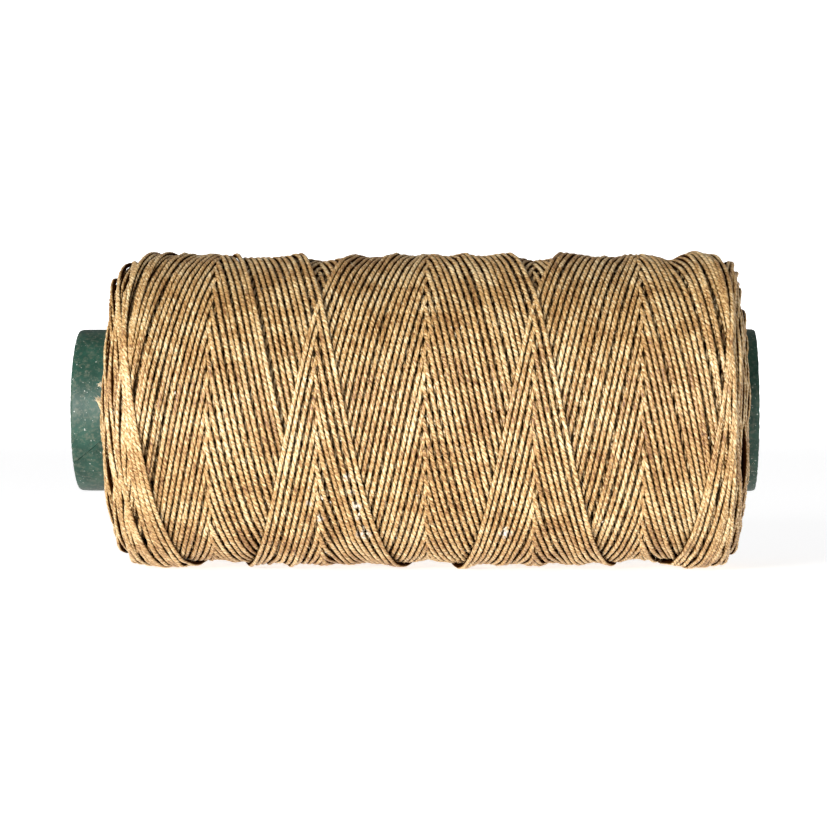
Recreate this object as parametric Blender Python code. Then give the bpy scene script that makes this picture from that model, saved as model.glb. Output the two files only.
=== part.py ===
"""Spool of coarse waxed stitching thread: a cross-wound package on a spiral-wound paper tube.

Metres, +Z up. The tube lies along X, its middle at the origin, and the package rests on one of
its flats below. The front of the object faces -Y, and an angle round the axis is counted from
the front upwards, so that it is 0 at -Y and a quarter turn at +Z.

The tube is five paper plies. Each ply is one straight strip, cut flat, creased along the facets
of the tube and wrapped round the axis with a butt seam between its turns. Every ply has its
creases on the same facet planes, so neighbouring plies stay parallel, one glue line apart.
The winding is one length of thread, held here as the turned body that it fills.
"""

from math import cos, pi, radians, sin, tau

import bmesh
import bpy
from mathutils import Matrix, Vector

# Tube
TUBE_LENGTH = 0.108
TUBE_OUTER_RADIUS = 0.0130
TUBE_FACETS = 48
GLUE_LINE = 0.0001
SEAM_GAP = 0.0003
SEAM_PITCH = 0.0906  # advance of a strip along the tube in one turn

# Plies from the bore outwards: name, thickness, seam's angle at the left end, material
PLY_STACK = (
    ("tube_liner_ply", 0.00028, radians(120.0), "kraft_paper"),
    ("tube_body_ply_1", 0.00036, radians(-110.0), "grey_board"),
    ("tube_body_ply_2", 0.00036, radians(40.0), "grey_board"),
    ("tube_body_ply_3", 0.00036, radians(170.0), "grey_board"),
    ("tube_cover_ply", 0.00024, radians(-41.0), "green_paper"),
)

# Thread and the package that it fills
THREAD_DIAMETER = 0.00095
PACKAGE_RADIUS = 0.02475
PACKAGE_FACETS = 32
FIT_GAP = 0.0003
SHOULDER_STEPS = 5
GROOVE_FACETS = 10
MERGE_DISTANCE = 1e-6

# Ends of the package: face at the tube, face where the shoulder starts, shoulder's start radius
# and the length that the shoulder's quarter ellipse takes up along the axis
LEFT_END = (-0.0489, -0.0476, 0.0200, 0.0054)
RIGHT_END = (0.0521, 0.0512, 0.0203, 0.0044)

# Ends of the thread: both show at the front of the package's left face
START_TAIL_ANGLE = radians(18.0)
START_TAIL_HIDDEN = 0.018  # length trapped under the winding
START_TAIL_FREE = 0.0008  # length that stands out of the left face
START_TAIL_STEPS = 8
FINISH_TAIL_ANGLES = (radians(6.0), radians(-17.0))
FINISH_TAIL_STEPS = 8
FINISH_TIP_SHARE = 1 / 3  # share of the finishing tail whose tip turns outwards

COLOURS = {
    "waxed_thread": ((0.42, 0.27, 0.12, 1.0), 0.62),
    "green_paper": ((0.022, 0.075, 0.055, 1.0), 0.48),
    "grey_board": ((0.36, 0.33, 0.28, 1.0), 0.90),
    "kraft_paper": ((0.40, 0.27, 0.15, 1.0), 0.85),
}


def clear_scene():
    for old in list(bpy.data.objects):
        bpy.data.objects.remove(old, do_unlink=True)


def material(name):
    found = bpy.data.materials.get(name)
    if found:
        return found
    colour, roughness = COLOURS[name]
    made = bpy.data.materials.new(name)
    made.use_nodes = True
    shader = made.node_tree.nodes["Principled BSDF"]
    shader.inputs["Base Color"].default_value = colour
    shader.inputs["Roughness"].default_value = roughness
    shader.inputs["Metallic"].default_value = 0.0
    return made


def add_object(name, data, material_name, parent):
    made = bpy.data.objects.new(name, data)
    made.data.materials.append(material(material_name))
    made.parent = parent
    bpy.context.scene.collection.objects.link(made)
    return made


def mesh_from(bm, name, sharp_angle=radians(30.0)):
    mesh = bpy.data.meshes.new(name)
    bm.to_mesh(mesh)
    bm.free()
    mesh.shade_smooth()
    mesh.set_sharp_from_angle(angle=sharp_angle)
    return mesh


def around(x, radius, angle):
    """The point at x along the axis, at this radius and this angle above the front."""
    return Vector((x, -radius * cos(angle), radius * sin(angle)))


def on_facets(x, radius, angle):
    """The same point moved onto the facets of a tube whose creases have this radius."""
    crease = tau / TUBE_FACETS
    start = (angle // crease) * crease
    share = (angle - start) / crease
    return around(x, radius, start).lerp(around(x, radius, start + crease), share)


def cut(bm, point, normal, clear_outer=False):
    """Cuts the flat strip along a line; clear_outer drops what lies on the normal's side."""
    everything = bm.verts[:] + bm.edges[:] + bm.faces[:]
    bmesh.ops.bisect_plane(
        bm,
        geom=everything,
        dist=MERGE_DISTANCE / 10,
        plane_co=point,
        plane_no=normal,
        clear_outer=clear_outer,
    )


def flat_strip(seam_angle):
    """One ply's strip before wrapping: X holds the place along the tube, Y the angle round it."""
    half = TUBE_LENGTH / 2
    advance = SEAM_PITCH / tau
    width = SEAM_PITCH - SEAM_GAP
    # The strip's left edge meets the tube's left end at the seam's angle. Nearly a turn earlier
    # its right edge does, and the strip ends where its left edge meets the right end.
    first = seam_angle - width / advance
    last = seam_angle + TUBE_LENGTH / advance
    outline = ((-half - width, first), (-half, first), (half + width, last), (half, last))
    bm = bmesh.new()
    bm.faces.new([bm.verts.new((along, angle, 0.0)) for along, angle in outline])
    cut(bm, (half, 0.0, 0.0), (1.0, 0.0, 0.0), clear_outer=True)
    cut(bm, (-half, 0.0, 0.0), (-1.0, 0.0, 0.0), clear_outer=True)
    crease = tau / TUBE_FACETS
    for step in range(int(first // crease), int(last // crease) + 1):
        cut(bm, (0.0, step * crease, 0.0), (0.0, 1.0, 0.0))
    return bm


def add_ply(name, inner_radius, thickness, seam_angle, material_name, parent):
    bm = flat_strip(seam_angle)
    outer_radius = inner_radius + thickness
    for vert in bm.verts:
        vert.co = on_facets(vert.co.x, outer_radius, vert.co.y)
    inside = bmesh.ops.extrude_face_region(bm, geom=bm.faces[:])
    for vert in inside["geom"]:
        if isinstance(vert, bmesh.types.BMVert):
            vert.co.y *= inner_radius / outer_radius
            vert.co.z *= inner_radius / outer_radius
    bmesh.ops.recalc_face_normals(bm, faces=bm.faces[:])
    return add_object(name, mesh_from(bm, name), material_name, parent)


def add_tube(parent):
    walls = sum(ply[1] for ply in PLY_STACK) + GLUE_LINE * (len(PLY_STACK) - 1)
    radius = TUBE_OUTER_RADIUS - walls
    for name, thickness, seam_angle, material_name in PLY_STACK:
        add_ply(name, radius, thickness, seam_angle, material_name, parent)
        radius += thickness + GLUE_LINE


def end_profile(end):
    """Points (x, radius) of one end of the package, from the tube out to its full radius."""
    face_at_tube, face_at_shoulder, start_radius, length = end
    inward = 1.0 if face_at_tube < 0.0 else -1.0
    rise = PACKAGE_RADIUS - start_radius
    points = [(face_at_tube, TUBE_OUTER_RADIUS + FIT_GAP)]
    for step in range(SHOULDER_STEPS + 1):
        angle = step / SHOULDER_STEPS * pi / 2
        points.append(
            (face_at_shoulder + inward * length * (1.0 - cos(angle)), start_radius + rise * sin(angle))
        )
    return points


def add_winding(parent):
    """The turned body of the package, with the groove that the thread's start lies in."""
    profile = end_profile(LEFT_END) + end_profile(RIGHT_END)[::-1]
    bm = bmesh.new()
    verts = [bm.verts.new((x, 0.0, -radius)) for x, radius in profile]
    edges = [bm.edges.new((verts[i - 1], verts[i])) for i in range(len(verts))]
    # Half a facet of turn first, so that one facet lies level below the axis
    half_facet = Matrix.Rotation(pi / PACKAGE_FACETS, 3, "X")
    bmesh.ops.rotate(bm, verts=verts, cent=(0.0, 0.0, 0.0), matrix=half_facet)
    bmesh.ops.spin(
        bm,
        geom=verts + edges,
        cent=(0.0, 0.0, 0.0),
        axis=(1.0, 0.0, 0.0),
        angle=tau,
        steps=PACKAGE_FACETS,
        use_merge=True,
    )
    bmesh.ops.remove_doubles(bm, verts=bm.verts[:], dist=MERGE_DISTANCE)
    bmesh.ops.recalc_face_normals(bm, faces=bm.faces[:])
    winding = add_object("thread_winding", mesh_from(bm, "thread_winding"), "waxed_thread", parent)
    groove = winding.modifiers.new("start_groove", "BOOLEAN")
    groove.operation = "DIFFERENCE"
    groove.solver = "EXACT"
    groove.object = add_groove_cutter(parent)
    return winding


def tail_radius():
    """Distance from the axis to the middle of a thread that lies on the tube."""
    return TUBE_OUTER_RADIUS + FIT_GAP + THREAD_DIAMETER / 2


def add_groove_cutter(parent):
    """A rod along the thread's start, one fit gap larger all round, used only to cut the groove."""
    end = LEFT_END[0] + START_TAIL_HIDDEN + FIT_GAP
    begin = LEFT_END[0] - START_TAIL_FREE - FIT_GAP
    bm = bmesh.new()
    bmesh.ops.create_cone(
        bm,
        cap_ends=True,
        segments=GROOVE_FACETS,
        radius1=THREAD_DIAMETER / 2 + FIT_GAP,
        radius2=THREAD_DIAMETER / 2 + FIT_GAP,
        depth=end - begin,
        matrix=Matrix.Rotation(pi / 2, 4, "Y"),
    )
    mesh = bpy.data.meshes.new("start_groove_cutter")
    bm.to_mesh(mesh)
    bm.free()
    cutter = bpy.data.objects.new("start_groove_cutter", mesh)
    cutter.location = around((begin + end) / 2, tail_radius(), START_TAIL_ANGLE)
    cutter.hide_render = True
    cutter.display_type = "WIRE"
    cutter.parent = parent
    bpy.context.scene.collection.objects.link(cutter)
    return cutter


def add_thread(name, points, parent):
    """A short length of thread through these points, closed at both ends."""
    curve = bpy.data.curves.new(name, "CURVE")
    curve.dimensions = "3D"
    curve.resolution_u = 1
    curve.bevel_depth = THREAD_DIAMETER / 2
    curve.bevel_resolution = 2
    curve.use_fill_caps = True
    spline = curve.splines.new("POLY")
    spline.points.add(len(points) - 1)
    for target, point in zip(spline.points, points):
        target.co = (*point, 1.0)
    return add_object(name, curve, "waxed_thread", parent)


def add_start_tail(parent):
    """The thread's start: straight along the tube under the winding, its cut tip in the open."""
    tip = LEFT_END[0] - START_TAIL_FREE
    hidden_end = LEFT_END[0] + START_TAIL_HIDDEN
    step_length = (hidden_end - tip) / START_TAIL_STEPS
    points = [
        around(tip + step * step_length, tail_radius(), START_TAIL_ANGLE)
        for step in range(START_TAIL_STEPS + 1)
    ]
    return add_thread("thread_start_tail", points, parent)


def add_finish_tail(parent):
    """The thread's last few millimetres: round the foot of the left face, its tip turned outwards."""
    high, low = FINISH_TAIL_ANGLES
    beside_face = LEFT_END[0] - FIT_GAP - THREAD_DIAMETER / 2
    points = []
    for step in range(FINISH_TAIL_STEPS + 1):
        share = step / FINISH_TAIL_STEPS
        lift = THREAD_DIAMETER * max(0.0, 1.0 - share / FINISH_TIP_SHARE)
        angle = high + (low - high) * share
        points.append(around(beside_face - lift, tail_radius() + 0.5 * lift, angle))
    return add_thread("thread_finish_tail", points, parent)


def build():
    clear_scene()
    axis = bpy.data.objects.new("spool_axis", None)
    bpy.context.scene.collection.objects.link(axis)
    add_tube(axis)
    add_winding(axis)
    add_start_tail(axis)
    add_finish_tail(axis)


build()
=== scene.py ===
"""Looks of a cross-wound spool of waxed thread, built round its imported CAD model.

The winding is laid turn by turn, as the winding machine lays it: the thread runs to and fro along
the tube at a fixed pitch, each pass a little round from the last, under tension, on whatever
already lies below it. The crossings, the steps beside them and the rounded shoulders follow from
that. Every turn that can be seen is a three-strand twisted thread in mesh.
Angles round the tube are counted from the front (-Y) upwards. Lengths are in metres.
"""

from math import ceil, cos, pi, radians, sin, sqrt, tau

import bmesh
import bpy
import numpy as np
from mathutils import Matrix, Vector


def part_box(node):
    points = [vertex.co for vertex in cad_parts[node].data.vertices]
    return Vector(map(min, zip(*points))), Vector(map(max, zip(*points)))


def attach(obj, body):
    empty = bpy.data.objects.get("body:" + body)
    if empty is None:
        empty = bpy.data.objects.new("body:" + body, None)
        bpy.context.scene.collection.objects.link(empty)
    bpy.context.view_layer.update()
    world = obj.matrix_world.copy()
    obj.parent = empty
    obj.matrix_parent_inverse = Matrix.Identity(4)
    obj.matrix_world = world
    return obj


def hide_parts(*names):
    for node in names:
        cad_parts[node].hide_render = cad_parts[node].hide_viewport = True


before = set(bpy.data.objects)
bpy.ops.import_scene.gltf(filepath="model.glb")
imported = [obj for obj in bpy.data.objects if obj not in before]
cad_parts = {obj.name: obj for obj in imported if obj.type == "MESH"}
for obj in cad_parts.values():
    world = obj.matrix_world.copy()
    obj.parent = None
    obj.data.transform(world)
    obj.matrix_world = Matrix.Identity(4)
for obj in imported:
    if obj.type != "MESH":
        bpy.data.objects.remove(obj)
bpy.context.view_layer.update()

MM = 0.001
BODY = "root"
UV_LAYER = "OFBake"  # the UV map that lays each thread piece's colour out in rows

# Sizes from the frame
TUBE_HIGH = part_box("tube_cover_ply")[1]
WIND_LOW, WIND_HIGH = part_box("thread_winding")
TUBE_HALF = TUBE_HIGH.x
TUBE_RADIUS = TUBE_HIGH.z
PACKAGE_FLATS = 32  # facets round the CAD winding
PACKAGE_RADIUS = WIND_HIGH.z / cos(pi / PACKAGE_FLATS)
FLOOR_Z = WIND_LOW.z - 0.8 * MM  # under the lowest turns, which swell below the CAD's flat

# The thread
THREAD = 0.93 * MM  # as laid, with its loose hairs
THREAD_R = THREAD / 2
BODY_R = 0.91 * THREAD_R  # the three strands themselves
STRAND_LAY = 3.3 * MM  # length of one turn of the strands round each other
STRANDS = 3

# The winding: a double stroke is six turns, there and back, and 33 of them go once round
TURNS_PER_STROKE = 3
STROKES_PER_CYCLE = 33
CYCLES = 7
DOUBLE_STROKES = STROKES_PER_CYCLE * CYCLES
LAST_CROSSING = radians(37.0)  # where the last double stroke leaves the left end
TURNAROUND = 3.0 * MM  # how far short of its straight course the thread turns back
END_REACH = 6.0 * MM  # what is nearer to an end face than this belongs to its turnarounds
PROUD = 0.5 * MM  # the outermost turnarounds stand this far outside the CAD's mean end face
FALL_SHORT = 0.8 * MM  # typical distance by which a turnaround misses the outermost one
FALL_SHORT_SPACING = 0.24  # length of thread between two random values of it
WANDER = 0.07 * MM  # sideways wander of the thread
WANDER_SPACING = 0.045
END_WANDER = 2.5  # the turnarounds wander more by this many times
SLOW_WANDER = 0.6 * WANDER
SLOW_WANDER_SPACING = 0.35
WANDER_RADIUS = 0.021  # a turn's length is that of this circle where the wander is spaced out

# How it settles on the package
SAMPLES_PER_TURN = 768
CHUNK = SAMPLES_PER_TURN // 2  # thread laid in one step
REACH = CHUNK // 4  # how far the pull in the thread reaches past both ends of a chunk
LAYING_STEP = 4  # samples between two places where the thread can touch what is below it
SLACK = 1.045  # 1 would be a perfectly straight thread between two places that it touches
SQUASH = 0.155  # share of its thickness that a thread sinks into the one below
MOST_RISE, END_DROP = 0.30, 0.50  # in mm: how far a thread may stand out, and less at the ends
CONTACT = (0.5, 5)  # where it can touch what is below: half width as a share of its radius, places
COVERED = (0.94, 9)  # what it covers for the next thread, in the same way
GRID_X, GRID_A = 720, 1024  # cells of the package's height, along the axis and round it
EVENING = 4 * 2 * TURNS_PER_STROKE * SAMPLES_PER_TURN  # it is pressed even every 4 double strokes
RIDGE_SPACING = 16.4 * MM  # between the places along the axis where the strokes cross
EVEN_HALF = 38.0 * MM  # further from the middle than this are the shoulders, which stay
EVEN_FADE = 4.0 * MM
SMOOTHING = 11  # samples over which a laid thread is smoothed

# What of it can be seen
PEEK = 0.25 * THREAD  # a thread shows where it lies less than this under the surface
AT_END = 0.3  # what is nearer to an end face than this counts as part of it, 1 being at the face
FACE_DEPTH = 1.3 * MM  # how far behind the outermost thread of an end face the next ones show
FACE_SECTORS = 180  # patches of a face, round it and outwards
FACE_STEPS = 40
FACE_STEP = 0.5 * MM
SHOW_PAST = 8  # samples by which each shown stretch is lengthened, so that it ends out of sight
LEAST_SHOWN = 6  # stretches of fewer samples are left out

# Ends of the package as in the CAD winding: face at the tube, face at the shoulder, radius at
# which the shoulder starts, length of the shoulder
LEFT_END = (WIND_LOW.x, WIND_LOW.x + 1.3 * MM, 20.0 * MM, 5.4 * MM)
RIGHT_END = (WIND_HIGH.x, WIND_HIGH.x - 0.9 * MM, 20.3 * MM, 4.4 * MM)
SHOULDER_POWER = 2.6  # 2 is a round shoulder, more is squarer

# The twisted thread's mesh
RING = 9  # points round a thread, three to a strand
RING_STEP = 0.34 * MM  # between two rings of points
CREST_SIDE = radians(26.0)  # angle between a strand's crest and the two points beside it
LOBE_OUT, LOBE_R = 0.37, 0.63  # middle and radius of a strand, as shares of the thread's radius
MOST_RINGS = 11000  # rings to a piece, which keeps it under 200,000 triangles
UNEVEN_TWIST, UNEVEN_SPACING = 0.7, 2.6 * MM  # radians by which the twist runs ahead or behind
SLUB, SLUB_SPACING = 0.045, 1.7 * MM  # share by which it is thicker here and thinner there
ROUGH = 0.030  # share by which single points of its surface are off
FLATTENED = 0.95  # pressed a little flat against the package, and so a little wider
WIDENED = 1.03
TONE_MIDDLE, TONE_SPREAD, TONE_SPACING = 0.5, 0.22, 0.02  # how pale it is, from place to place
MEAN_RADIUS = 0.0205  # a turn's length is that of this circle where its fibres are placed
LEAST_ROOM = 12  # rings: a piece with less room than this left is full

# How a piece's thread is laid out on its UV map
GIRTH = 2.9 * MM
MAP_FILL = 0.80  # share of the map that the rows of thread take up
ROW_GAP = 0.12
MAP_WIDTH, MAP_MARGIN = 0.996, 0.002
CAP_SPOT = 0.0005  # all the flat caps share this corner of it

# Cut ends and loose fibres
TIP_RINGS, TIP_SCALE = 3, 0.72  # a cut tip is drawn together
TAIL_LIFT = 0.6  # a tail lies free, so that light reaches between its strands: its painted shade on the inward side stays faint
FIBRE_COUNT = 2600
FIBRE_LENGTHS = (0.5, 1.7)  # in mm
FIBRE_R = 0.016 * MM
HAIR_POINTS = 6
HAIR_TAPER = 0.7
ASKEW = (0.31, 0.52, 0.79)  # a direction in which no hair runs
TUFT_COUNT = 70
TUFT_R = 0.05 * MM
TUFT_SPREAD = 0.16 * MM
TUFT_FAN, TUFT_CURL = 0.14, 0.25  # how much its hairs differ in direction, and how much they bend
CUT_END_R = 0.20 * MM

# Wax flecks: small ones at random, and the large ones in front as (place along the axis in mm,
# angle in degrees, size in mm)
WAX_COUNT = 90
WAX_PLACES = (-44.0, 47.0)
WAX_SIZES = (0.07, 0.15)
WAX_SUNK = 0.05 * MM
WAX_SPOTS = (
    (-13.9, -33.0, 0.22), (-9.1, -35.0, 0.24), (-8.6, -37.0, 0.32), (-8.2, -40.0, 0.30),
    (-7.9, -43.0, 0.36), (-7.4, -45.0, 0.30), (-7.9, -48.0, 0.28), (-7.0, -49.5, 0.26),
    (14.4, -47.5, 0.30), (-15.8, -28.0, 0.18), (13.2, -44.0, 0.20), (-12.6, -36.0, 0.18),
)

# Patches of wax dust on the thread, given the same way
WAX_PATCHES = (
    (-9.9, -24.6, 0.9), (-9.1, -31.0, 0.7), (-8.5, -36.5, 1.1), (-8.2, -42.0, 0.9),
    (-7.6, -50.0, 1.7), (-14.3, -42.3, 1.0), (14.3, -50.8, 1.5), (-15.8, -35.0, 0.9),
)

# The buried turns
CORE_DEPTH = 1.6 * MM  # under the lowest place of the surface at each station
CORE_STATIONS = 90
CORE_FACETS = 96
CORE_FOOT, CORE_CLEAR = 0.05 * MM, 0.1 * MM  # over the tube, at its two ends and between them

# The tube: strips of paper and board wound round the bore, one ply on another
BORE_RADIUS = 11.0 * MM
SEAM_PITCH = 90.6 * MM  # along the tube, to one turn of the seam
SEAM_GAP = 0.12 * MM
STRIP_WIDTH = SEAM_PITCH - SEAM_GAP
GLUE_LAP = 0.02 * MM  # each ply starts this much inside the outside of the one before
PLY_STEP = radians(1.5)
PLY_ROWS = 24  # points across a strip
SHARP_EDGE = radians(40.0)
RAGGED, RAGGED_SPACING = 0.03 * MM, 0.05  # the strip's cut edges; the spacings are in radians
SAWN, SAWN_SPACING = 0.05 * MM, 0.03  # the tube's sawn ends
SWELL, SWELL_SPACING = 0.0075 * MM, 0.6
LIP, LIP_WIDTH = 0.05 * MM, 0.5 * MM  # the strip's long edges stand up by a hair beside the seam
LIP_ROOM = 0.03 * MM
CRUSH, CRUSH_DEPTH = 0.22 * MM, 0.30 * MM  # the tube's rims are crushed slightly inwards

# Its plies from the bore outwards: piece, CAD node, seam's angle at the left end, slot
PLIES = (
    ("tube_liner_paper", "tube_liner_ply", 120.0, "kraft_paper"),
    ("tube_board_inner", "tube_body_ply_1", -110.0, "grey_board"),
    ("tube_board_middle", "tube_body_ply_2", 40.0, "grey_board"),
    ("tube_board_outer", "tube_body_ply_3", 170.0, "grey_board"),
    ("tube_cover_paper", "tube_cover_ply", -41.0, "green_paper"),
)

# Colours, linear
THREAD_COLOURS = (
    (0.16, (0.150, 0.052, 0.010)),
    (0.38, (0.420, 0.214, 0.066)),
    (0.60, (0.655, 0.408, 0.158)),
    (0.84, (0.950, 0.750, 0.440)),
)
# painted shade: the colour put into the grooves and on the inward-facing sides of the thread
VALLEY_SHADE_COLOUR = (0.022, 0.006, 0.001)
WAX_COLOUR = (0.88, 0.82, 0.71)

# Camera
CAMERA_DISTANCE = 0.514
CAMERA_YAW = radians(2.0)
CAMERA_DROP = 0.56 * MM
CAMERA_SHIFT_MM = 0.48
VIEW_WIDTH = 132.7 * MM
SENSOR_MM = 36.0

# Light
KEY_PLACE = (-0.40, -0.96, 0.10)
KEY_TARGET = (0.0, 0.0, -0.005)
KEY_SIZE = (0.30, 0.30)
KEY_POWER = 13.7
FLOOR_GLOW = 0.74
WALL_GLOW = 1.0
ROOM_HALF = 3.0
WALL_HEIGHT = 0.6


# ---- camera, light and floor


def add_camera():
    data = bpy.data.cameras.new("camera")
    data.sensor_width = SENSOR_MM
    data.lens = SENSOR_MM * CAMERA_DISTANCE / VIEW_WIDTH
    data.clip_start = 0.01
    camera = bpy.data.objects.new("camera", data)
    side = -CAMERA_SHIFT_MM * MM
    camera.location = (
        side + CAMERA_DISTANCE * sin(CAMERA_YAW),
        -CAMERA_DISTANCE * cos(CAMERA_YAW),
        -CAMERA_DROP,
    )
    camera.rotation_euler = (pi / 2, 0.0, CAMERA_YAW)
    bpy.context.scene.collection.objects.link(camera)
    bpy.context.scene.camera = camera


def add_area_light(name, location, target, size, power):
    data = bpy.data.lights.new(name, "AREA")
    data.shape = "RECTANGLE"
    data.size, data.size_y = size
    data.energy = power
    lamp = bpy.data.objects.new(name, data)
    lamp.location = location
    lamp.rotation_euler = (Vector(target) - Vector(location)).to_track_quat("-Z", "Y").to_euler()
    bpy.context.scene.collection.objects.link(lamp)


def add_world():
    """Dim grey walls all round and a darker ceiling."""
    world = bpy.data.worlds.new("studio")
    world.use_nodes = True
    nodes, links = world.node_tree.nodes, world.node_tree.links
    background = nodes["Background"]
    background.inputs["Strength"].default_value = 1.0
    place = nodes.new("ShaderNodeTexCoord")
    split = nodes.new("ShaderNodeSeparateXYZ")
    ramp = nodes.new("ShaderNodeValToRGB")
    ramp.color_ramp.elements[0].position = 0.50
    ramp.color_ramp.elements[0].color = (0.42, 0.42, 0.42, 1.0)
    ramp.color_ramp.elements[1].position = 0.95
    ramp.color_ramp.elements[1].color = (0.16, 0.16, 0.165, 1.0)
    shift = nodes.new("ShaderNodeMapRange")
    shift.inputs["From Min"].default_value = -1.0
    shift.inputs["From Max"].default_value = 1.0
    links.new(place.outputs["Generated"], split.inputs[0])
    links.new(split.outputs["Z"], shift.inputs["Value"])
    links.new(shift.outputs["Result"], ramp.inputs["Fac"])
    links.new(ramp.outputs["Color"], background.inputs["Color"])
    bpy.context.scene.world = world


def glowing_white(name, strength):
    surface = bpy.data.materials.new(name)
    surface.use_nodes = True
    shader = surface.node_tree.nodes["Principled BSDF"]
    shader.inputs["Base Color"].default_value = (0.80, 0.80, 0.80, 1.0)
    shader.inputs["Roughness"].default_value = 0.9
    shader.inputs["Specular IOR Level"].default_value = 0.0
    shader.inputs["Emission Color"].default_value = (1.0, 1.0, 1.0, 1.0)
    shader.inputs["Emission Strength"].default_value = strength
    return surface


def add_sheets(name, corners, faces, material):
    mesh = bpy.data.meshes.new(name)
    mesh.from_pydata(corners, [], faces)
    sheets = bpy.data.objects.new(name, mesh)
    bpy.context.scene.collection.objects.link(sheets)
    mesh.materials.append(material)


def add_floor():
    """A white light table, with a low white wall far off on every side."""
    square = ((-1, -1), (1, -1), (1, 1), (-1, 1))
    low = [(x * ROOM_HALF, y * ROOM_HALF, FLOOR_Z) for x, y in square]
    high = [(x, y, z + WALL_HEIGHT) for x, y, z in low]
    walls = [(i, (i + 1) % 4, (i + 1) % 4 + 4, i + 4) for i in range(4)]
    add_sheets("floor", low, [(0, 1, 2, 3)], glowing_white("light_table", FLOOR_GLOW))
    add_sheets("walls", low + high, walls, glowing_white("white_walls", WALL_GLOW))


def set_stage():
    add_camera()
    add_world()
    add_floor()
    add_area_light("key", KEY_PLACE, KEY_TARGET, KEY_SIZE, KEY_POWER)
    bpy.context.scene.view_settings.view_transform = "Standard"


# ---- laying the thread


def face_place(end, radius):
    """Where the package's end face lies along the axis, at this radius."""
    at_tube, at_shoulder, start_radius, length = end
    inward = 1.0 if at_tube < 0.0 else -1.0
    straight = at_tube + (at_shoulder - at_tube) * (radius - TUBE_RADIUS) / (start_radius - TUBE_RADIUS)
    share = np.clip((radius - start_radius) / (PACKAGE_RADIUS - start_radius), 0.0, 0.999)
    curved = at_shoulder + inward * length * (1.0 - (1.0 - share**SHOULDER_POWER) ** (1.0 / SHOULDER_POWER))
    return np.where(radius < start_radius, straight, curved)


def smooth_noise(rng, places, spacing):
    """Cubic noise of unit spread at these places, with one random value every `spacing`."""
    scaled = places / spacing
    index = scaled.astype(int)
    share = scaled - index
    values = rng.normal(0.0, 1.0, index.max() + 4)
    a, b, c, d = (values[index + step] for step in range(4))
    return 0.5 * (2 * b + (c - a) * share + (2 * a - 5 * b + 4 * c - d) * share**2
                  + (3 * b - a - 3 * c + d) * share**3)


def thread_course(rng):
    """For every sample of the thread: place along the axis, angle, the package's radius when it is
    laid, and how near it is to an end face, from 0 to 1 at the face.
    """
    count = DOUBLE_STROKES * 2 * TURNS_PER_STROKE * SAMPLES_PER_TURN
    turn = np.arange(count) / SAMPLES_PER_TURN
    stroke = turn / (2 * TURNS_PER_STROKE)
    level = TUBE_RADIUS + (PACKAGE_RADIUS - TUBE_RADIUS) * (stroke + 0.5) / DOUBLE_STROKES
    phase = stroke - np.floor(stroke)
    precession = tau * stroke / STROKES_PER_CYCLE
    last = DOUBLE_STROKES - 1
    angle = LAST_CROSSING - tau * last / STROKES_PER_CYCLE + precession + tau * turn
    middle = np.minimum(level + THREAD_R, PACKAGE_RADIUS - THREAD_R)
    left = face_place(LEFT_END, middle) - PROUD + THREAD_R - TURNAROUND
    right = face_place(RIGHT_END, middle) + PROUD - THREAD_R + TURNAROUND
    length = right - left
    out = np.where(phase < 0.5, 2 * phase, 2 - 2 * phase) * length
    back = length - out
    place = left + np.sqrt(out**2 + TURNAROUND**2) - np.sqrt(back**2 + TURNAROUND**2) + back
    near_end = np.exp(-(np.minimum(out, back) / END_REACH) ** 2)
    path = turn * tau * WANDER_RADIUS
    place += WANDER * smooth_noise(rng, path, WANDER_SPACING) * (1.0 + END_WANDER * near_end)
    place += SLOW_WANDER * smooth_noise(rng, path, SLOW_WANDER_SPACING)
    # Many turnarounds fall a little short of the end face
    inward = np.where(out < back, 1.0, -1.0)
    place += inward * near_end * FALL_SHORT * np.abs(smooth_noise(rng, path, FALL_SHORT_SPACING))
    return place, angle, level, near_end


def cells(place, angle):
    """The cells of the package's height map at these places and angles."""
    index_x = np.clip(((place + TUBE_HALF) / (2 * TUBE_HALF) * GRID_X).astype(int), 0, GRID_X - 1)
    index_a = np.floor(angle / tau * GRID_A).astype(int) % GRID_A
    return index_x, index_a


def taut(along, needed, radius):
    """Height of a tight thread over these supports: straight runs between the ones it touches."""
    bow = along * along / (2 * radius)
    bare = needed - bow
    kept = []
    for i in range(len(bare)):
        while len(kept) >= 2:
            a, b = kept[-2], kept[-1]
            if (bare[b] - bare[a]) * (along[i] - along[a]) > (bare[i] - bare[a]) * (along[b] - along[a]):
                break
            kept.pop()
        kept.append(i)
    return np.interp(along, along[kept], bare[kept]) + bow


def even_out(height, radius, row):
    """Pressure flattens the ridges that the crossings would otherwise pile up round the package."""
    profile = height.mean(1)
    wide = int(RIDGE_SPACING / (2 * TUBE_HALF) * GRID_X)
    level = np.convolve(np.pad(profile, wide // 2, "edge"), np.ones(wide) / wide, "valid")[: GRID_X]
    along = (np.arange(GRID_X) + 0.5) / GRID_X * 2 * TUBE_HALF - TUBE_HALF
    inside = np.clip((EVEN_HALF - np.abs(along)) / EVEN_FADE, 0.0, 1.0)
    ridge = (profile - level) * inside
    height -= ridge[:, None]
    radius -= ridge[row]


def across_thread(half_width, count):
    """Places across the thread, up to this share of its radius, and its rise at each."""
    places = np.linspace(-half_width, half_width, count) * THREAD_R
    return places, np.sqrt(THREAD_R**2 - places**2)


def cells_across(course, part, places):
    """The cells at these places across some samples of the thread."""
    place, angle, side_x, side_a = course
    return cells(
        place[part, None] + places * side_x[part, None],
        angle[part, None] + places * side_a[part, None],
    )


def cover(height, course, part, radius):
    """Raises the package to the tops of these samples of the thread."""
    places, rise = across_thread(*COVERED)
    np.maximum.at(height, cells_across(course, part, places), radius[part, None] + rise)


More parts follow.
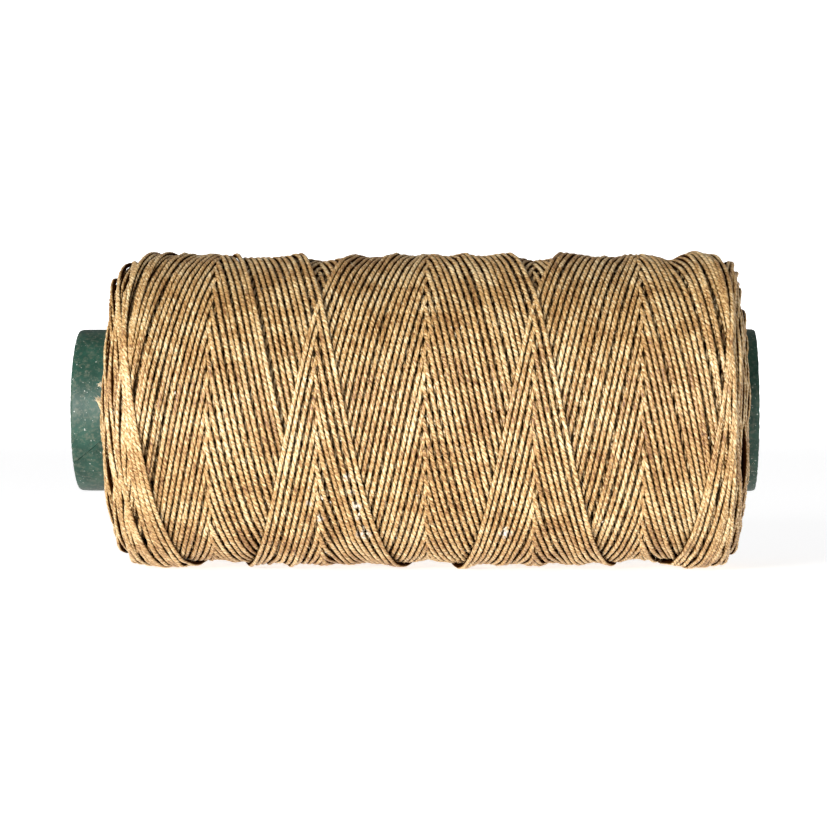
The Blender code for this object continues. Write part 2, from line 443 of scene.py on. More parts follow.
def lay_thread():
    """Lays the whole thread. Returns its samples and the height of the finished package."""
    place, angle, level, near_end = thread_course(np.random.default_rng(4))
    height = np.full((GRID_X, GRID_A), TUBE_RADIUS)
    radius = np.empty_like(place)
    arc = tau / SAMPLES_PER_TURN * (level + THREAD_R)
    slope = np.gradient(place)
    run = np.hypot(slope, arc)
    course = (place, angle, arc / run, -slope / run / (level + THREAD_R))
    contact, contact_rise = across_thread(*CONTACT)
    highest = level + THREAD_R + (MOST_RISE - END_DROP * near_end) * MM
    row = cells(place, angle)[0]
    for start in range(0, len(place), CHUNK):
        low, high = max(0, start - REACH), min(len(place), start + CHUNK + REACH)
        window = slice(low, high, LAYING_STEP)
        support = (height[cells_across(course, window, contact)] + contact_rise).max(1)
        tested = np.arange(low, high, LAYING_STEP)
        along = (tested - low) * run[start]
        top = taut(along, np.minimum(support, highest[window]), level[start] * SLACK)
        chunk = slice(start, start + CHUNK)
        radius[chunk] = np.interp(np.arange(start, start + CHUNK), tested, top) - SQUASH * THREAD
        if start % EVENING == 0:
            even_out(height, radius[:start], row[:start])
        # What was laid half a turn ago now carries what comes next
        if start > 0:
            cover(height, course, slice(start - CHUNK, start), radius)
    cover(height, course, chunk, radius)
    kernel = np.hanning(SMOOTHING)
    radius = np.convolve(np.pad(radius, SMOOTHING // 2, "edge"), kernel / kernel.sum(), "valid")
    return place, angle, radius, near_end, height


def dilate(mask, reach):
    """Widens every run of true values by `reach` samples at both ends."""
    counts = np.convolve(mask.astype(np.int32), np.ones(2 * reach + 1, np.int32), "same")
    return counts > 0


def seen(place, angle, radius, near_end, height):
    """Which samples can be seen from outside: on top, through a gap, or on an end face."""
    shown = np.zeros(len(place), bool)
    for side in (-0.8, 0.0, 0.8):
        index = cells(place + side * THREAD_R, angle)
        top = radius + THREAD_R * sqrt(1 - side * side)
        shown |= height[index] - top < PEEK
    # End faces: the outermost thread in each small patch of a face, and what lies just behind
    patch_a = np.floor(angle / tau * FACE_SECTORS).astype(int) % FACE_SECTORS
    patch_r = ((radius - TUBE_RADIUS) / FACE_STEP).astype(int)
    patch = patch_a * FACE_STEPS + np.clip(patch_r, 0, FACE_STEPS - 1)
    for outward in (-1.0, 1.0):
        at_end = (near_end > AT_END) & (place * outward > 0.0)
        furthest = np.full(FACE_SECTORS * FACE_STEPS, -1.0)
        np.maximum.at(furthest, patch[at_end], place[at_end] * outward)
        shown |= at_end & (furthest[patch] - place * outward < FACE_DEPTH)
    return dilate(shown, SHOW_PAST)


# ---- thread meshes


def ring_shape():
    """Angle, radius and depth of groove of each point round the section of three strands."""
    offsets = np.array([-CREST_SIDE, CREST_SIDE, pi / STRANDS])
    turn = (np.arange(STRANDS)[:, None] * tau / STRANDS + offsets).ravel()
    off = np.abs(np.tile(offsets, STRANDS))
    radius = LOBE_OUT * np.cos(off) + np.sqrt(LOBE_R**2 - (LOBE_OUT * np.sin(off)) ** 2)
    groove = np.where(off > CREST_SIDE + 0.01, 1.0, 0.0)
    return turn, radius, groove


def surface_normal(points):
    """The package's own outward direction at these points: along the axis on its end faces."""
    radius = np.hypot(points[:, 1], points[:, 2])
    axial = np.zeros(len(points))
    for end, sign in ((LEFT_END, -1.0), (RIGHT_END, 1.0)):
        shoulder = end[1] - sign * end[3]
        share = np.clip(sign * (points[:, 0] - shoulder) / end[3], 0.0, 1.0)
        axial += sign * share
    rise = np.clip((radius - LEFT_END[2]) / (PACKAGE_RADIUS - LEFT_END[2]), 0.0, 1.0)
    rise = np.where(np.abs(axial) > 0.0, rise, 1.0)
    normal = points * (0.0, 1.0, 1.0) / radius[:, None] * rise[:, None]
    normal[:, 0] = axial
    return normal / np.maximum(np.linalg.norm(normal, axis=1), 1e-9)[:, None]


def centre_line(place, angle, radius):
    return np.stack([place, -radius * np.cos(angle), radius * np.sin(angle)], axis=1)


def evenly(points, spacing):
    """The same line with its points a fixed distance apart, and the distance to each."""
    steps = np.linalg.norm(np.diff(points, axis=0), axis=1)
    length = np.concatenate([[0.0], np.cumsum(steps)])
    count = max(3, int(length[-1] / spacing))
    wanted = np.linspace(0.0, length[-1], count)
    return np.stack([np.interp(wanted, length, points[:, i]) for i in range(3)], axis=1), wanted


def ring_directions(points):
    """Two directions square to the line at each of its points: away from the axis, and sideways."""
    tangent = np.gradient(points, axis=0)
    tangent /= np.linalg.norm(tangent, axis=1)[:, None]
    outward = points * (0.0, 1.0, 1.0)
    outward /= np.linalg.norm(outward, axis=1)[:, None]
    outward -= (outward * tangent).sum(1)[:, None] * tangent
    outward /= np.linalg.norm(outward, axis=1)[:, None]
    return outward, np.cross(tangent, outward)


def thread_rings(points, along, rng, scale=None):
    """Rings of the twisted thread round a line of points, with how deep in a groove each point
    lies and how far outwards it faces.
    """
    turn, shape, groove = ring_shape()
    outward, side = ring_directions(points)
    uneven = UNEVEN_TWIST * smooth_noise(rng, along - along[0], UNEVEN_SPACING)
    slub = 1.0 + SLUB * smooth_noise(rng, along - along[0], SLUB_SPACING)
    spin = turn[None, :] - (tau * along / STRAND_LAY + uneven)[:, None]
    rough = 1.0 + ROUGH * rng.normal(0.0, 1.0, (len(points), RING))
    size = BODY_R * shape[None, :] * slub[:, None] * rough
    if scale is not None:
        size = size * scale[:, None]
    up = (size * np.cos(spin))[:, :, None] * outward[:, None, :] * FLATTENED
    across = (size * np.sin(spin))[:, :, None] * side[:, None, :] * WIDENED
    offset = up + across
    # How far each point faces outwards; the thread's material paints shade on the sides that face in
    lift = (offset * surface_normal(points)[:, None, :]).sum(2) / BODY_R
    return points[:, None, :] + offset, groove, lift


def new_mesh(name, verts, quads, triangles=()):
    """A mesh from arrays: every quad first, then every triangle."""
    mesh = bpy.data.meshes.new(name)
    quads = np.asarray(quads, np.int32).reshape(-1, 4)
    triangles = np.asarray(triangles, np.int32).reshape(-1, 3)
    mesh.vertices.add(len(verts))
    mesh.vertices.foreach_set("co", np.asarray(verts, np.float32).ravel())
    corners = np.concatenate([quads.ravel(), triangles.ravel()])
    mesh.loops.add(len(corners))
    mesh.loops.foreach_set("vertex_index", corners)
    quad_starts = np.arange(len(quads)) * 4
    starts = np.concatenate([quad_starts, len(quads) * 4 + np.arange(len(triangles)) * 3])
    mesh.polygons.add(len(starts))
    mesh.polygons.foreach_set("loop_start", starts.astype(np.int32))
    mesh.update(calc_edges=True)
    mesh.shade_smooth()
    return mesh


def add_values(mesh, name, values):
    layer = mesh.attributes.new(name, "FLOAT", "POINT")
    layer.data.foreach_set("value", np.asarray(values, np.float32).ravel())


def add_vectors(mesh, name, values):
    layer = mesh.attributes.new(name, "FLOAT_VECTOR", "POINT")
    layer.data.foreach_set("vector", np.asarray(values, np.float32).ravel())


def strip_map(mesh, ring_count, quad_ring, quad_column, triangle_count):
    """A UV map with the thread laid out in rows, so that a bake keeps its fine colour."""
    length = ring_count * RING_STEP
    map_side = sqrt(length * GIRTH / MAP_FILL)
    rows = max(1, ceil(length / map_side))
    per_row = ceil(ring_count / rows)
    row, column = quad_ring // per_row, quad_ring % per_row
    u0 = column / per_row * MAP_WIDTH + MAP_MARGIN
    u1 = (column + 1) / per_row * MAP_WIDTH + MAP_MARGIN
    v0 = (row + ROW_GAP / 2 + (1 - ROW_GAP) * quad_column / RING) / rows
    v1 = (row + ROW_GAP / 2 + (1 - ROW_GAP) * (quad_column + 1) / RING) / rows
    quads = np.stack([u0, v0, u1, v0, u1, v1, u0, v1], axis=1).ravel()
    caps = np.full(triangle_count * 6, CAP_SPOT)
    layer = mesh.uv_layers.new(name=UV_LAYER)
    layer.data.foreach_set("uv", np.concatenate([quads, caps]).astype(np.float32))


def twisted(run, rng, tone, scale=None, least_lift=-1.0):
    """One run of thread as rings, with what its material needs at each of their points."""
    points, along = run
    rings, groove, lift = thread_rings(points, along, rng, scale)
    angle = np.arange(RING) / RING * tau
    across = THREAD_R * np.cos(angle)[None, :], THREAD_R * np.sin(angle)[None, :]
    return {
        "rings": rings,
        "groove": np.broadcast_to(groove, lift.shape),
        "lift": np.maximum(lift, least_lift),
        "tone": np.broadcast_to(tone[:, None], lift.shape),
        "fibre": np.stack(np.broadcast_arrays(along[:, None], *across), axis=2),
    }


def cut_to_size(turned):
    """Groups of thread that each make one piece. A long run goes on in the next, ring on ring."""
    groups, room = [[]], MOST_RINGS
    for run in turned:
        first, last = 0, len(run["rings"]) - 1
        while first < last:
            if room < LEAST_ROOM:
                groups.append([])
                room = MOST_RINGS
            stop = min(last, first + room - 2)
            groups[-1].append({name: values[first:stop + 1] for name, values in run.items()})
            room -= stop - first + 2
            first = stop
    return groups


def end_caps(first, last, count):
    """Flat fans of triangles over the first and the last ring of a run, by their first points."""
    start = [(first, first + i + 1, first + i + 2) for i in range(count - 2)]
    return start + [(last, last + i + 2, last + i + 1) for i in range(count - 2)]


def thread_piece(name, turned, material):
    """One mesh piece from several runs of thread, each closed by a flat cap at both ends."""
    quads, caps, quad_ring, quad_column = [], [], [], []
    rings_before = 0
    around = np.arange(RING)
    following = (around + 1) % RING
    for run in turned:
        count = len(run["rings"])
        ring = (rings_before + np.arange(count - 1))[:, None]
        here, there = ring * RING, (ring + 1) * RING
        corners = (here + around, there + around, there + following, here + following)
        quads.append(np.stack(corners, axis=2).reshape(-1, 4))
        quad_ring.append(np.repeat(ring.ravel(), RING))
        quad_column.append(np.tile(around, count - 1))
        caps += end_caps(rings_before * RING, (rings_before + count - 1) * RING, RING)
        rings_before += count
    whole = {key: np.concatenate([run[key] for run in turned]) for key in turned[0]}
    mesh = new_mesh(name, whole["rings"].reshape(-1, 3), np.concatenate(quads), caps)
    for key in ("groove", "lift", "tone"):
        add_values(mesh, key, whole[key])
    add_vectors(mesh, "fibre", whole["fibre"])
    strip_map(mesh, rings_before, np.concatenate(quad_ring), np.concatenate(quad_column), len(caps))
    mesh.materials.append(material)
    return place_piece(name, mesh)


def place_piece(name, mesh):
    piece = bpy.data.objects.new(name, mesh)
    bpy.context.scene.collection.objects.link(piece)
    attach(piece, BODY)
    return piece


def visible_runs(place, angle, radius, shown):
    """The seen stretches of thread, as lines of evenly spaced points."""
    edges = np.flatnonzero(np.diff(np.concatenate([[False], shown, [False]]).astype(np.int8)))
    runs = []
    distance = np.arange(len(place)) * (tau / SAMPLES_PER_TURN * MEAN_RADIUS)
    for begin, end in zip(edges[::2], edges[1::2]):
        if end - begin < LEAST_SHOWN:
            continue
        cut = slice(begin, end)
        points, along = evenly(centre_line(place[cut], angle[cut], radius[cut]), RING_STEP)
        runs.append((points, along + distance[begin]))
    return runs


def add_winding(material):
    place, angle, radius, near_end, height = lay_thread()
    shown = seen(place, angle, radius, near_end, height)
    runs = visible_runs(place, angle, radius, shown)
    rng = np.random.default_rng(11)
    turned = []
    for points, along in runs:
        tone = TONE_MIDDLE + TONE_SPREAD * smooth_noise(rng, along - along[0], TONE_SPACING)
        turned.append(twisted((points, along), rng, tone))
    for number, group in enumerate(cut_to_size(turned)):
        thread_piece(f"thread_turns_{number + 1:02d}", group, material)
    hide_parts("thread_winding")
    return place, angle, radius, shown, height


# ---- what lies under the outer turns


def add_core(height, material):
    """The buried turns: one body, painted near-black as shade, a thread or two below the visible ones,
    drawn in to the tube at both ends.
    """
    along = (np.arange(GRID_X) + 0.5) / GRID_X * 2 * TUBE_HALF - TUBE_HALF
    left, right = WIND_LOW.x + CORE_DEPTH, WIND_HIGH.x - CORE_DEPTH
    lowest = height.min(1)
    stations = np.linspace(left, right, CORE_STATIONS)
    body = np.interp(stations, along, lowest) - CORE_DEPTH
    profile = [(left, TUBE_RADIUS + CORE_FOOT)]
    profile += [(x, max(radius, TUBE_RADIUS + CORE_CLEAR)) for x, radius in zip(stations, body)]
    profile.append((right, TUBE_RADIUS + CORE_FOOT))
    turn = np.arange(CORE_FACETS) / CORE_FACETS * tau
    profile = np.array(profile)
    verts = np.stack([
        np.repeat(profile[:, 0], CORE_FACETS),
        (-profile[:, 1, None] * np.cos(turn)).ravel(),
        (profile[:, 1, None] * np.sin(turn)).ravel(),
    ], axis=1)
    quads = loft_quads(len(profile), CORE_FACETS)
    mesh = new_mesh("buried_turns", verts, quads)
    mesh.materials.append(material)
    core = place_piece("buried_turns", mesh)
    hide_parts("thread_winding")


def loft_quads(rows, columns):
    """Quads between consecutive rows of points; each row is a closed loop of `columns` points."""
    row, column = np.meshgrid(np.arange(rows - 1), np.arange(columns), indexing="ij")
    after = (column + 1) % columns
    here, beside = row * columns + column, row * columns + after
    corners = (here, beside, beside + columns, here + columns)
    return np.stack(corners, axis=2).reshape(-1, 4)


# ---- the tube


def strip_places(angle, edge, rng):
    """Places along the tube of a strip's points, from one cut edge to the other, for each angle."""
    # The cut edges of the strip and the sawn ends of the tube are both a little ragged
    ragged = RAGGED * smooth_noise(rng, angle - angle[0], RAGGED_SPACING)
    sawn = SAWN * np.abs(smooth_noise(rng, angle - angle[0], SAWN_SPACING))
    low = np.clip(edge + ragged, -TUBE_HALF + sawn, TUBE_HALF - sawn)
    high = np.clip(edge + STRIP_WIDTH + ragged, -TUBE_HALF + sawn, TUBE_HALF - sawn)
    share = np.linspace(0.0, 1.0, PLY_ROWS)
    share = 0.5 - 0.5 * np.cos(pi * share)
    return low[:, None] + (high - low)[:, None] * share


def strip_radii(across, edge, inner, outer, swell):
    """Radius of the strip's outside and of its inside at the same points."""
    lipped = np.minimum(across - edge[:, None], edge[:, None] + STRIP_WIDTH - across)
    lip = LIP * np.exp(-np.maximum(lipped, 0.0) / LIP_WIDTH)
    crushed = CRUSH * np.exp((np.abs(across) - TUBE_HALF) / CRUSH_DEPTH)
    return outer + swell[:, None] + lip - LIP_ROOM - crushed, inner - crushed


def add_ply(name, node, inner, outer, seam_angle, material, rng):
    """A strip of paper wound round the axis with its edges butted: grid columns run along the tube."""
    advance = SEAM_PITCH / tau
    first, last = seam_angle - STRIP_WIDTH / advance, seam_angle + 2 * TUBE_HALF / advance
    columns = int((last - first) / PLY_STEP)
    angle = np.linspace(first, last, columns)
    edge = -TUBE_HALF + (angle - seam_angle) * advance
    across = strip_places(angle, edge, rng)
    swell = SWELL * smooth_noise(rng, angle - first, SWELL_SPACING)
    loop_x = np.concatenate([across, across[:, ::-1]], axis=1)
    loop_r = np.concatenate(strip_radii(across, edge, inner, outer, swell), axis=1)
    turned = angle[:, None]
    verts = np.stack([loop_x, -loop_r * np.cos(turned), loop_r * np.sin(turned)], axis=2)
    count = 2 * PLY_ROWS
    caps = end_caps(0, (columns - 1) * count, count)
    mesh = new_mesh(name, verts.reshape(-1, 3), loft_quads(columns, count), caps)
    mesh.set_sharp_from_angle(angle=SHARP_EDGE)
    mesh.materials.append(material)
    piece = place_piece(name, mesh)
    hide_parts(node)


def add_tube(green, board, kraft):
    rng = np.random.default_rng(21)
    materials = {"green_paper": green, "grey_board": board, "kraft_paper": kraft}
    inner = BORE_RADIUS
    for name, node, seam_angle, slot in PLIES:
        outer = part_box(node)[1].z
        add_ply(name, node, inner, outer, radians(seam_angle), materials[slot], rng)
        inner = outer - GLUE_LAP


# ---- ends of the thread


def tail_scale(count):
    """The thread's thickness along a tail: full, and drawn together at the cut tip."""
    scale = np.ones(count)
    scale[:TIP_RINGS] = np.linspace(TIP_SCALE, 1.0, TIP_RINGS)
    return scale


def bend(points):
    """A smooth line through a few points, by repeated corner cutting."""
    points = np.array(points, float)
    for _ in range(4):
        quarter = points[:-1] * 0.75 + points[1:] * 0.25
        far = points[:-1] * 0.25 + points[1:] * 0.75
        middle = np.stack([quarter, far], axis=1).reshape(-1, 3)
        points = np.concatenate([points[:1], middle, points[-1:]])
    return points


def polar(x, radius, angle):
    """A point by its place along the axis and radius, both in mm, and its angle in degrees."""
    return (x * MM, -radius * MM * cos(radians(angle)), radius * MM * sin(radians(angle)))


def add_tail(name, node, corners, material):
    points, along = evenly(bend(corners), RING_STEP)
    tone = 0.9 + 0.9 * np.exp(-along / (1.2 * MM))  # palest at the cut tip
    rng = np.random.default_rng(1)
    turned = twisted((points, along), rng, tone, tail_scale(len(points)), TAIL_LIFT)
    tail = thread_piece(name, [turned], material)
    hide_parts(node)
    return points


def add_tuft(name, tip, direction, length, material, rng):
    """Loose fibres where a thread is cut: fine hairs that spread from the tip."""
    lines = []
    for _ in range(TUFT_COUNT):
        spread = Vector(rng.normal(0.0, TUFT_FAN, 3))
        heading = (Vector(direction).normalized() + spread).normalized()
        start = Vector(tip) + Vector(rng.normal(0.0, TUFT_SPREAD, 3))
        reach = length * rng.uniform(0.5, 1.0)
        curl = Vector(rng.normal(0.0, TUFT_CURL, 3)) * reach
        lines.append([start, start + heading * reach * 0.5, start + heading * reach + curl])
    add_hairs(name, lines, TUFT_R, material)


def add_hairs(name, lines, radius, material):
    """One mesh of fine three-sided hairs, each thinner towards its tip."""
    verts, quads = [], []
    turn = np.arange(3) / 3 * tau
    for number, line in enumerate(lines):
        a, b, c = (np.array(point) for point in line)
        share = np.linspace(0.0, 1.0, HAIR_POINTS)[:, None]
        path = (1 - share) ** 2 * a + 2 * share * (1 - share) * b + share**2 * c
        tangent = np.gradient(path, axis=0)
        tangent /= np.linalg.norm(tangent, axis=1)[:, None]
        side = np.cross(tangent, ASKEW)
        side /= np.linalg.norm(side, axis=1)[:, None]
        up = np.cross(tangent, side)
        thick = radius * (1.0 - HAIR_TAPER * share)
        ring = side[:, None] * np.cos(turn)[None, :, None] + up[:, None] * np.sin(turn)[None, :, None]
        verts.append((path[:, None] + ring * thick[:, None]).reshape(-1, 3))
        quads.append(loft_quads(HAIR_POINTS, 3) + number * HAIR_POINTS * 3)
    mesh = new_mesh(name, np.concatenate(verts), np.concatenate(quads))
    mesh.materials.append(material)
    place_piece(name, mesh)


def add_tails(thread, pale):
    rng = np.random.default_rng(31)
    # The start of the thread comes out from under the winding, along the tube
    start = [
        polar(-48.7, 15.6, 15), polar(-47.6, 14.4, 17.5), polar(-44.0, 13.6, 17), polar(-30.0, 13.5, 17),
    ]
    points = add_tail("thread_start_tail_twisted", "thread_start_tail", start, thread)
    add_tuft("start_tip_fibres", points[0], (-0.8, -0.6, -0.6), 0.55 * MM, pale, rng)
    # Its end comes off the last turn and lies round the foot of the left face
    finish = [
        polar(-48.9, 17.4, 5), polar(-48.5, 16.6, 2), polar(-48.1, 16.4, -2), polar(-47.7, 17.4, -7),
        polar(-47.2, 18.8, -13), polar(-46.6, 20.2, -20), polar(-45.6, 20.8, -28),
    ]
    points = add_tail("thread_finish_tail_twisted", "thread_finish_tail", finish, thread)
    add_tuft("finish_tip_fibres", points[0], (-0.5, -0.5, 0.9), 0.5 * MM, pale, rng)
    # A cut end left from tying on shows high on the right shoulder
    curl = [[polar(49.3, 22.8, 59), polar(50.4, 24.0, 60), polar(50.9, 22.6, 57)]]
    add_hairs("right_cut_end", curl, CUT_END_R, pale)


# ---- loose fibres and wax


def add_fuzz(place, angle, radius, shown, height, material):
    """Short loose fibres all over the thread, mostly lying along it."""
    rng = np.random.default_rng(41)
    index = cells(place, angle)
    surface = np.flatnonzero(shown & (height[index] - radius < 1.2 * THREAD_R))
    chosen = rng.choice(surface, FIBRE_COUNT, replace=False)
    lines = []
    for sample in chosen:
        a, r = angle[sample], radius[sample] + THREAD_R * 0.7
        base = Vector((place[sample], -r * cos(a), r * sin(a)))
        outward = Vector((0.0, -cos(a), sin(a)))
        along = Vector((0.2 * rng.choice([-1.0, 1.0]), sin(a), cos(a))).normalized()
        reach = rng.uniform(*FIBRE_LENGTHS) * MM
        turned = along * rng.choice([-1.0, 1.0]) + Vector(rng.normal(0.0, 0.45, 3))
        middle = base + turned * reach * 0.5 + outward * rng.uniform(0.1, 0.35) * MM
        tip = base + turned * reach + outward * rng.uniform(-0.1, 0.45) * MM
        lines.append([base, middle, tip])
    add_hairs("loose_fibres", lines, FIBRE_R, material)


def add_wax(height, material):
    """Flecks of dried wax pressed on the thread: a few large ones in front, small ones all over."""
    rng = np.random.default_rng(51)
    spots = list(WAX_SPOTS)
    for _ in range(WAX_COUNT):
        spots.append((rng.uniform(*WAX_PLACES), rng.uniform(0.0, 360.0), rng.uniform(*WAX_SIZES)))
    verts, triangles = [], []
    source = bmesh.new()
    bmesh.ops.create_icosphere(source, subdivisions=2, radius=1.0)
    ball = np.array([vert.co[:] for vert in source.verts])
    faces = np.array([[vert.index for vert in face.verts] for face in source.faces])
    source.free()
    for number, (x, degrees, size) in enumerate(spots):
        a = radians(degrees)
        index = cells(np.array([x * MM]), np.array([a]))
        r = float(height[index][0]) - WAX_SUNK
        lumpy = ball * (1.0 + rng.normal(0.0, 0.22, len(ball)))[:, None] * size * MM
        lumpy *= (rng.uniform(0.5, 0.9), rng.uniform(0.35, 0.5), rng.uniform(1.0, 2.0))
        tilt = Matrix.Rotation(rng.normal(0.0, 0.35), 3, "Y")
        turn = Matrix.Rotation(-a, 3, "X")
        lumpy = lumpy @ np.array((turn @ tilt).transposed())
        verts.append(lumpy + (x * MM, -r * cos(a), r * sin(a)))
        triangles.append(faces + number * len(ball))
    mesh = new_mesh("wax_flecks", np.concatenate(verts), (), np.concatenate(triangles))
    mesh.materials.append(material)
    place_piece("wax_flecks", mesh)


# ---- materials


class Shading:
    """A material's node tree, with short ways to add and join its nodes."""

    def __init__(self, name, roughness, specular=0.5):
        self.material = bpy.data.materials.new(name)
        self.material.use_nodes = True
        self.nodes = self.material.node_tree.nodes
        self.links = self.material.node_tree.links
        self.shader = self.nodes["Principled BSDF"]
        self.shader.inputs["Roughness"].default_value = roughness
        self.shader.inputs["Specular IOR Level"].default_value = specular

    def attribute(self, name):
        node = self.nodes.new("ShaderNodeAttribute")
        node.attribute_name = name
        return node.outputs["Vector"] if name == "fibre" else node.outputs["Fac"]

    def position(self):
        return self.nodes.new("ShaderNodeTexCoord").outputs["Object"]

    def stretch(self, vector, scale):
        node = self.nodes.new("ShaderNodeMapping")
        node.inputs["Scale"].default_value = scale
        self.links.new(vector, node.inputs["Vector"])
        return node.outputs["Vector"]

    def noise(self, vector, scale, detail=3.0, roughness=0.5):
        node = self.nodes.new("ShaderNodeTexNoise")
        node.inputs["Scale"].default_value = scale
        node.inputs["Detail"].default_value = detail
        node.inputs["Roughness"].default_value = roughness
        self.links.new(vector, node.inputs["Vector"])
        return node.outputs["Fac"]

    def spread(self, value, low, high, to_low=0.0, to_high=1.0):
        node = self.nodes.new("ShaderNodeMapRange")
        node.interpolation_type = "SMOOTHSTEP"
        limits = {"From Min": low, "From Max": high, "To Min": to_low, "To Max": to_high}
        for socket, number in limits.items():
            node.inputs[socket].default_value = number
        self.links.new(value, node.inputs["Value"])
        return node.outputs["Result"]

    def combine(self, first, second, operation="ADD"):
        node = self.nodes.new("ShaderNodeMath")
        node.operation = operation
        for socket, value in zip(node.inputs, (first, second)):
            if isinstance(value, (int, float)):
                socket.default_value = value
            else:
                self.links.new(value, socket)
        return node.outputs["Value"]

    def colours(self, value, stops):
        node = self.nodes.new("ShaderNodeValToRGB")
        ramp = node.color_ramp
        while len(ramp.elements) < len(stops):
            ramp.elements.new(0.5)
        for element, (position, colour) in zip(ramp.elements, stops):
            element.position = position
            element.color = (*colour, 1.0)
        self.links.new(value, node.inputs["Fac"])
        return node.outputs["Color"]

    def mix(self, factor, first, second, blend="MIX"):
        node = self.nodes.new("ShaderNodeMix")
        node.data_type = "RGBA"
        node.blend_type = blend
        sockets = [socket for socket in node.inputs if socket.type == "RGBA"]
        for socket, value in ((node.inputs[0], factor), (sockets[0], first), (sockets[1], second)):
            if isinstance(value, float):
                socket.default_value = value
            elif isinstance(value, tuple):
                socket.default_value = (*value, 1.0)
            else:
                self.links.new(value, socket)
        return [socket for socket in node.outputs if socket.type == "RGBA"][0]

    def bump(self, value, distance, strength=1.0):
        node = self.nodes.new("ShaderNodeBump")
        node.inputs["Distance"].default_value = distance
        node.inputs["Strength"].default_value = strength
        self.links.new(value, node.inputs["Height"])
        self.links.new(node.outputs["Normal"], self.shader.inputs["Normal"])

    def base(self, colour):
        self.links.new(colour, self.shader.inputs["Base Color"])
        return self.material


def waxed_patches(look):
    """1 inside the few patches where white wax dust sticks to the thread, 0 outside them."""
    total = 0.0
    for x, degrees, size in WAX_PATCHES:
        offset = look.nodes.new("ShaderNodeVectorMath")
        offset.operation = "DISTANCE"
        offset.inputs[1].default_value = polar(x, PACKAGE_RADIUS / MM, degrees)
        look.links.new(look.position(), offset.inputs[0])
        near = look.spread(offset.outputs["Value"], 0.3 * size * MM, size * MM, 1.0, 0.0)
        total = look.combine(near, total, "MAXIMUM")
    return total


def waxed_thread_material():
    """Tan fibre, pale where rubbed, with painted shade between the strands and on sides facing inwards."""
    look = Shading("waxed_thread_twisted", 0.46, 0.42)
    fibre = look.attribute("fibre")
    long_fibres = look.noise(look.stretch(fibre, (900.0, 4200.0, 4200.0)), 1.0, 3.0, 0.6)
    blotch = look.noise(look.stretch(fibre, (2300.0, 2300.0, 2300.0)), 1.0, 2.0)
    patch = look.noise(look.position(), 190.0, 3.0)
    value = look.combine(look.spread(long_fibres, 0.32, 0.68), 0.36, "MULTIPLY")
    value = look.combine(value, look.combine(look.spread(blotch, 0.34, 0.66), 0.34, "MULTIPLY"))
    value = look.combine(value, look.combine(look.spread(patch, 0.34, 0.66), 0.20, "MULTIPLY"))
    value = look.combine(value, look.combine(look.attribute("tone"), 0.20, "MULTIPLY"))
    colour = look.colours(value, THREAD_COLOURS)
    dust = look.spread(look.noise(look.position(), 1900.0), 0.34, 0.56)
    dusty = look.combine(waxed_patches(look), dust, "MULTIPLY")
    colour = look.mix(dusty, colour, WAX_COLOUR)
    # Painted shade: dark on the sides of each thread that face into the package and in its grooves
    open_side = look.spread(look.attribute("lift"), 0.06, 0.76)
    crest = look.spread(look.attribute("groove"), 0.25, 1.0, 1.0, 0.60)
    light = look.combine(open_side, crest, "MULTIPLY")
    colour = look.mix(light, VALLEY_SHADE_COLOUR, colour)
    look.bump(long_fibres, 0.06 * MM, 1.0)
    # Only the rubbed crests of the wax shine; the shine follows the same painted shade mask
    look.links.new(look.spread(light, 0.4, 1.0, 0.0, 0.75), look.shader.inputs["Specular IOR Level"])
    return look.base(colour)


def buried_shade_material():
    # Painted shade: the buried thread is coloured near-black for the shade deep in the gaps between turns
    look = Shading("buried_thread_painted_shade", 0.9, 0.1)
    grain = look.noise(look.stretch(look.position(), (900.0, 300.0, 300.0)), 1.0)
    return look.base(look.colours(grain, ((0.3, (0.020, 0.009, 0.003)), (0.7, (0.050, 0.024, 0.009)))))


def pale_fibre_material():
    look = Shading("loose_fibre", 0.7, 0.3)
    grain = look.noise(look.position(), 900.0)
    return look.base(look.colours(grain, ((0.3, (0.68, 0.52, 0.32)), (0.7, (0.92, 0.82, 0.62)))))


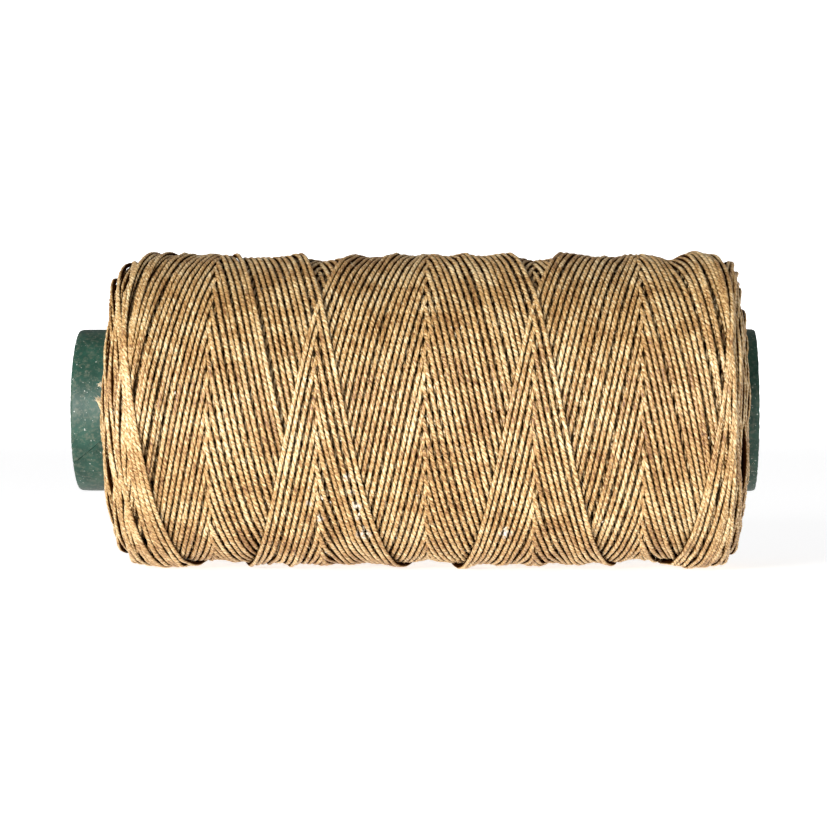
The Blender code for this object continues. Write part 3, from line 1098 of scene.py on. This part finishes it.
def wax_material():
    look = Shading("dried_wax", 0.55, 0.4)
    grain = look.noise(look.position(), 1500.0)
    look.bump(grain, 0.03 * MM)
    return look.base(look.colours(grain, ((0.3, (0.62, 0.52, 0.37)), (0.7, (0.84, 0.78, 0.66)))))


def green_paper_material():
    """Dark green coated paper, scuffed and dusty, with tiny pale specks."""
    look = Shading("green_tube_paper", 0.50, 0.42)
    place = look.position()
    cloud = look.noise(place, 260.0, 5.0, 0.65)
    grain = look.noise(look.stretch(place, (2600.0, 2600.0, 2600.0)), 1.0, 2.0)
    colour = look.colours(cloud, ((0.34, (0.005, 0.038, 0.024)), (0.66, (0.020, 0.078, 0.053))))
    dust = look.spread(look.noise(place, 1500.0, 3.0, 0.7), 0.44, 0.74, 0.0, 0.60)
    colour = look.mix(dust, colour, (0.138, 0.152, 0.108))
    speck = look.spread(look.noise(place, 2600.0, 1.0), 0.70, 0.76, 0.0, 0.8)
    colour = look.mix(speck, colour, (0.55, 0.58, 0.52))
    look.bump(grain, 0.03 * MM, 0.8)
    return look.base(colour)


def board_material():
    look = Shading("grey_tube_board", 0.9, 0.2)
    place = look.position()
    grain = look.noise(look.stretch(place, (900.0, 2400.0, 2400.0)), 1.0, 4.0, 0.7)
    look.bump(grain, 0.05 * MM)
    return look.base(look.colours(grain, ((0.30, (0.22, 0.19, 0.15)), (0.70, (0.44, 0.40, 0.33)))))


def kraft_material():
    look = Shading("kraft_tube_liner", 0.8, 0.3)
    place = look.position()
    grain = look.noise(look.stretch(place, (500.0, 1800.0, 1800.0)), 1.0, 4.0, 0.65)
    look.bump(grain, 0.03 * MM)
    return look.base(look.colours(grain, ((0.30, (0.26, 0.16, 0.08)), (0.70, (0.45, 0.31, 0.17)))))


def main():
    set_stage()
    thread = waxed_thread_material()
    pale = pale_fibre_material()
    place, angle, radius, shown, height = add_winding(thread)
    add_core(height, buried_shade_material())
    add_tails(thread, pale)
    add_fuzz(place, angle, radius, shown, height, pale)
    add_wax(height, wax_material())
    add_tube(green_paper_material(), board_material(), kraft_material())


main()
